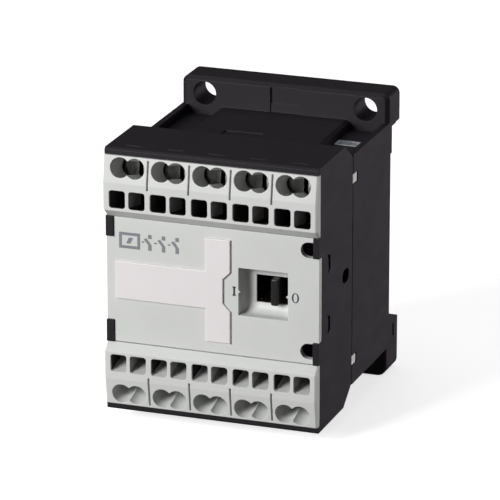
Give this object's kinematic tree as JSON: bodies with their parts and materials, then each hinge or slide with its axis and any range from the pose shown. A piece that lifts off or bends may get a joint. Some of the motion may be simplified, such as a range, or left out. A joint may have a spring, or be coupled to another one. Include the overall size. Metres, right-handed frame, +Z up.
{
  "type": "din rail contactor",
  "caption": "Compact electromagnetic contactor for rail or screw mounting, with spring-cage terminals along the top and bottom, a switch position window and a marking plate.",
  "frame": {"origin": "middle of the four mounting holes, on the mounting plane at the back", "axes": "+X to the right and +Z up as seen from the front, +Y from the front into the device and out of its back"},
  "size_m": [0.045, 0.0524, 0.061],
  "materials": {
    "black_housing": "fine grained",
    "cover_grey": "satin",
    "label_white": "satin",
    "carrier_black": "satin",
    "insulation_grey": "satin",
    "former_plastic": "satin",
    "copper_winding": "enamelled",
    "copper": "satin",
    "silver": "satin",
    "core_steel": "laminated",
    "spring_steel": "bright",
    "buffer_rubber": "matte",
    "coil_label_stock": "printed"
  },
  "bodies": {
    "base": {"rear_housing": "black_housing", "front_housing": "black_housing", "upper_terminal_cover": "cover_grey", "lower_terminal_cover": "cover_grey", "upper_entry_block": "carrier_black", "lower_entry_block": "carrier_black", "pole_barriers": "black_housing", "faceplate": "cover_grey", "label_plate": "label_white", "partition_plate": "insulation_grey", "coil_label": "coil_label_stock", "fixed_core": "core_steel", "shading_rings": "copper", "core_buffer": "buffer_rubber", "coil_former": "former_plastic", "coil_winding": "copper_winding", "coil_leads": "copper", "upper_fixed_contacts": "copper", "lower_fixed_contacts": "copper", "coil_terminal_bars": "copper", "fixed_contact_tips": "silver", "return_springs": "spring_steel", "latch_spring": "spring_steel"},
    "carrier": {"contact_carrier": "carrier_black", "armature": "core_steel", "armature_pin": "spring_steel", "contact_spring_1": "spring_steel", "contact_spring_2": "spring_steel", "contact_spring_3": "spring_steel", "contact_spring_4": "spring_steel"},
    "bridge_1": {"contact_bridge_1": "copper"},
    "bridge_2": {"contact_bridge_2": "copper"},
    "bridge_3": {"contact_bridge_3": "copper"},
    "bridge_4": {"contact_bridge_4": "copper"},
    "latch": {"din_latch": "carrier_black"},
    "upper_clamp_0a": {"upper_clamp_0a": "spring_steel"},
    "upper_clamp_0b": {"upper_clamp_0b": "spring_steel"},
    "upper_clamp_1a": {"upper_clamp_1a": "spring_steel"},
    "upper_clamp_1b": {"upper_clamp_1b": "spring_steel"},
    "upper_clamp_2a": {"upper_clamp_2a": "spring_steel"},
    "upper_clamp_2b": {"upper_clamp_2b": "spring_steel"},
    "upper_clamp_3a": {"upper_clamp_3a": "spring_steel"},
    "upper_clamp_3b": {"upper_clamp_3b": "spring_steel"},
    "upper_clamp_4a": {"upper_clamp_4a": "spring_steel"},
    "upper_clamp_4b": {"upper_clamp_4b": "spring_steel"},
    "lower_clamp_0a": {"lower_clamp_0a": "spring_steel"},
    "lower_clamp_0b": {"lower_clamp_0b": "spring_steel"},
    "lower_clamp_1a": {"lower_clamp_1a": "spring_steel"},
    "lower_clamp_1b": {"lower_clamp_1b": "spring_steel"},
    "lower_clamp_2a": {"lower_clamp_2a": "spring_steel"},
    "lower_clamp_2b": {"lower_clamp_2b": "spring_steel"},
    "lower_clamp_3a": {"lower_clamp_3a": "spring_steel"},
    "lower_clamp_3b": {"lower_clamp_3b": "spring_steel"},
    "lower_clamp_4a": {"lower_clamp_4a": "spring_steel"},
    "lower_clamp_4b": {"lower_clamp_4b": "spring_steel"}
  },
  "joints": [
    {"name": "carrier_slide", "type": "slide", "parent": "base", "child": "carrier", "axis": [-1, 0, 0], "range_m": [0, 0.003], "stiffness_N_per_m": 700, "springref_m": -0.004, "deforming": ["return_springs"]},
    {"name": "bridge_1_wipe", "type": "slide", "parent": "carrier", "child": "bridge_1", "axis": [1, 0, 0], "range_m": [0, 0.0005], "deforming": ["contact_spring_1"]},
    {"name": "bridge_2_wipe", "type": "slide", "parent": "carrier", "child": "bridge_2", "axis": [1, 0, 0], "range_m": [0, 0.0005], "deforming": ["contact_spring_2"]},
    {"name": "bridge_3_wipe", "type": "slide", "parent": "carrier", "child": "bridge_3", "axis": [1, 0, 0], "range_m": [0, 0.0005], "deforming": ["contact_spring_3"]},
    {"name": "bridge_4_wipe", "type": "slide", "parent": "carrier", "child": "bridge_4", "axis": [1, 0, 0], "range_m": [0, 0.0005], "deforming": ["contact_spring_4"]},
    {"name": "latch_slide", "type": "slide", "parent": "base", "child": "latch", "axis": [0, 0, -1], "range_m": [0, 0.0025], "stiffness_N_per_m": 600, "springref_m": -0.005, "deforming": ["latch_spring"]},
    {"name": "upper_clamp_0a_open", "type": "hinge", "parent": "base", "child": "upper_clamp_0a", "pos_m": [0, -0.0435, 0.0175], "axis": [-1, 0, 0], "range_deg": [0, 12], "stiffness_Nm_per_rad": 0.5, "springref_deg": -8.59},
    {"name": "upper_clamp_0b_open", "type": "hinge", "parent": "base", "child": "upper_clamp_0b", "pos_m": [0, -0.0435, 0.0175], "axis": [-1, 0, 0], "range_deg": [0, 12], "stiffness_Nm_per_rad": 0.5, "springref_deg": -8.59},
    {"name": "upper_clamp_1a_open", "type": "hinge", "parent": "base", "child": "upper_clamp_1a", "pos_m": [0, -0.0435, 0.0175], "axis": [-1, 0, 0], "range_deg": [0, 12], "stiffness_Nm_per_rad": 0.5, "springref_deg": -8.59},
    {"name": "upper_clamp_1b_open", "type": "hinge", "parent": "base", "child": "upper_clamp_1b", "pos_m": [0, -0.0435, 0.0175], "axis": [-1, 0, 0], "range_deg": [0, 12], "stiffness_Nm_per_rad": 0.5, "springref_deg": -8.59},
    {"name": "upper_clamp_2a_open", "type": "hinge", "parent": "base", "child": "upper_clamp_2a", "pos_m": [0, -0.0435, 0.0175], "axis": [-1, 0, 0], "range_deg": [0, 12], "stiffness_Nm_per_rad": 0.5, "springref_deg": -8.59},
    {"name": "upper_clamp_2b_open", "type": "hinge", "parent": "base", "child": "upper_clamp_2b", "pos_m": [0, -0.0435, 0.0175], "axis": [-1, 0, 0], "range_deg": [0, 12], "stiffness_Nm_per_rad": 0.5, "springref_deg": -8.59},
    {"name": "upper_clamp_3a_open", "type": "hinge", "parent": "base", "child": "upper_clamp_3a", "pos_m": [0, -0.0435, 0.0175], "axis": [-1, 0, 0], "range_deg": [0, 12], "stiffness_Nm_per_rad": 0.5, "springref_deg": -8.59},
    {"name": "upper_clamp_3b_open", "type": "hinge", "parent": "base", "child": "upper_clamp_3b", "pos_m": [0, -0.0435, 0.0175], "axis": [-1, 0, 0], "range_deg": [0, 12], "stiffness_Nm_per_rad": 0.5, "springref_deg": -8.59},
    {"name": "upper_clamp_4a_open", "type": "hinge", "parent": "base", "child": "upper_clamp_4a", "pos_m": [0, -0.0435, 0.0175], "axis": [-1, 0, 0], "range_deg": [0, 12], "stiffness_Nm_per_rad": 0.5, "springref_deg": -8.59},
    {"name": "upper_clamp_4b_open", "type": "hinge", "parent": "base", "child": "upper_clamp_4b", "pos_m": [0, -0.0435, 0.0175], "axis": [-1, 0, 0], "range_deg": [0, 12], "stiffness_Nm_per_rad": 0.5, "springref_deg": -8.59},
    {"name": "lower_clamp_0a_open", "type": "hinge", "parent": "base", "child": "lower_clamp_0a", "pos_m": [0, -0.0435, -0.0175], "axis": [1, 0, 0], "range_deg": [0, 12], "stiffness_Nm_per_rad": 0.5, "springref_deg": -8.59},
    {"name": "lower_clamp_0b_open", "type": "hinge", "parent": "base", "child": "lower_clamp_0b", "pos_m": [0, -0.0435, -0.0175], "axis": [1, 0, 0], "range_deg": [0, 12], "stiffness_Nm_per_rad": 0.5, "springref_deg": -8.59},
    {"name": "lower_clamp_1a_open", "type": "hinge", "parent": "base", "child": "lower_clamp_1a", "pos_m": [0, -0.0435, -0.0175], "axis": [1, 0, 0], "range_deg": [0, 12], "stiffness_Nm_per_rad": 0.5, "springref_deg": -8.59},
    {"name": "lower_clamp_1b_open", "type": "hinge", "parent": "base", "child": "lower_clamp_1b", "pos_m": [0, -0.0435, -0.0175], "axis": [1, 0, 0], "range_deg": [0, 12], "stiffness_Nm_per_rad": 0.5, "springref_deg": -8.59},
    {"name": "lower_clamp_2a_open", "type": "hinge", "parent": "base", "child": "lower_clamp_2a", "pos_m": [0, -0.0435, -0.0175], "axis": [1, 0, 0], "range_deg": [0, 12], "stiffness_Nm_per_rad": 0.5, "springref_deg": -8.59},
    {"name": "lower_clamp_2b_open", "type": "hinge", "parent": "base", "child": "lower_clamp_2b", "pos_m": [0, -0.0435, -0.0175], "axis": [1, 0, 0], "range_deg": [0, 12], "stiffness_Nm_per_rad": 0.5, "springref_deg": -8.59},
    {"name": "lower_clamp_3a_open", "type": "hinge", "parent": "base", "child": "lower_clamp_3a", "pos_m": [0, -0.0435, -0.0175], "axis": [1, 0, 0], "range_deg": [0, 12], "stiffness_Nm_per_rad": 0.5, "springref_deg": -8.59},
    {"name": "lower_clamp_3b_open", "type": "hinge", "parent": "base", "child": "lower_clamp_3b", "pos_m": [0, -0.0435, -0.0175], "axis": [1, 0, 0], "range_deg": [0, 12], "stiffness_Nm_per_rad": 0.5, "springref_deg": -8.59},
    {"name": "lower_clamp_4a_open", "type": "hinge", "parent": "base", "child": "lower_clamp_4a", "pos_m": [0, -0.0435, -0.0175], "axis": [1, 0, 0], "range_deg": [0, 12], "stiffness_Nm_per_rad": 0.5, "springref_deg": -8.59},
    {"name": "lower_clamp_4b_open", "type": "hinge", "parent": "base", "child": "lower_clamp_4b", "pos_m": [0, -0.0435, -0.0175], "axis": [1, 0, 0], "range_deg": [0, 12], "stiffness_Nm_per_rad": 0.5, "springref_deg": -8.59}
  ],
  "couplings": [
    {"joint": "bridge_1_wipe", "follows": "carrier_slide", "ratio": 0.16667},
    {"joint": "bridge_2_wipe", "follows": "carrier_slide", "ratio": 0.16667},
    {"joint": "bridge_3_wipe", "follows": "carrier_slide", "ratio": 0.16667},
    {"joint": "bridge_4_wipe", "follows": "carrier_slide", "ratio": 0.16667}
  ]
}
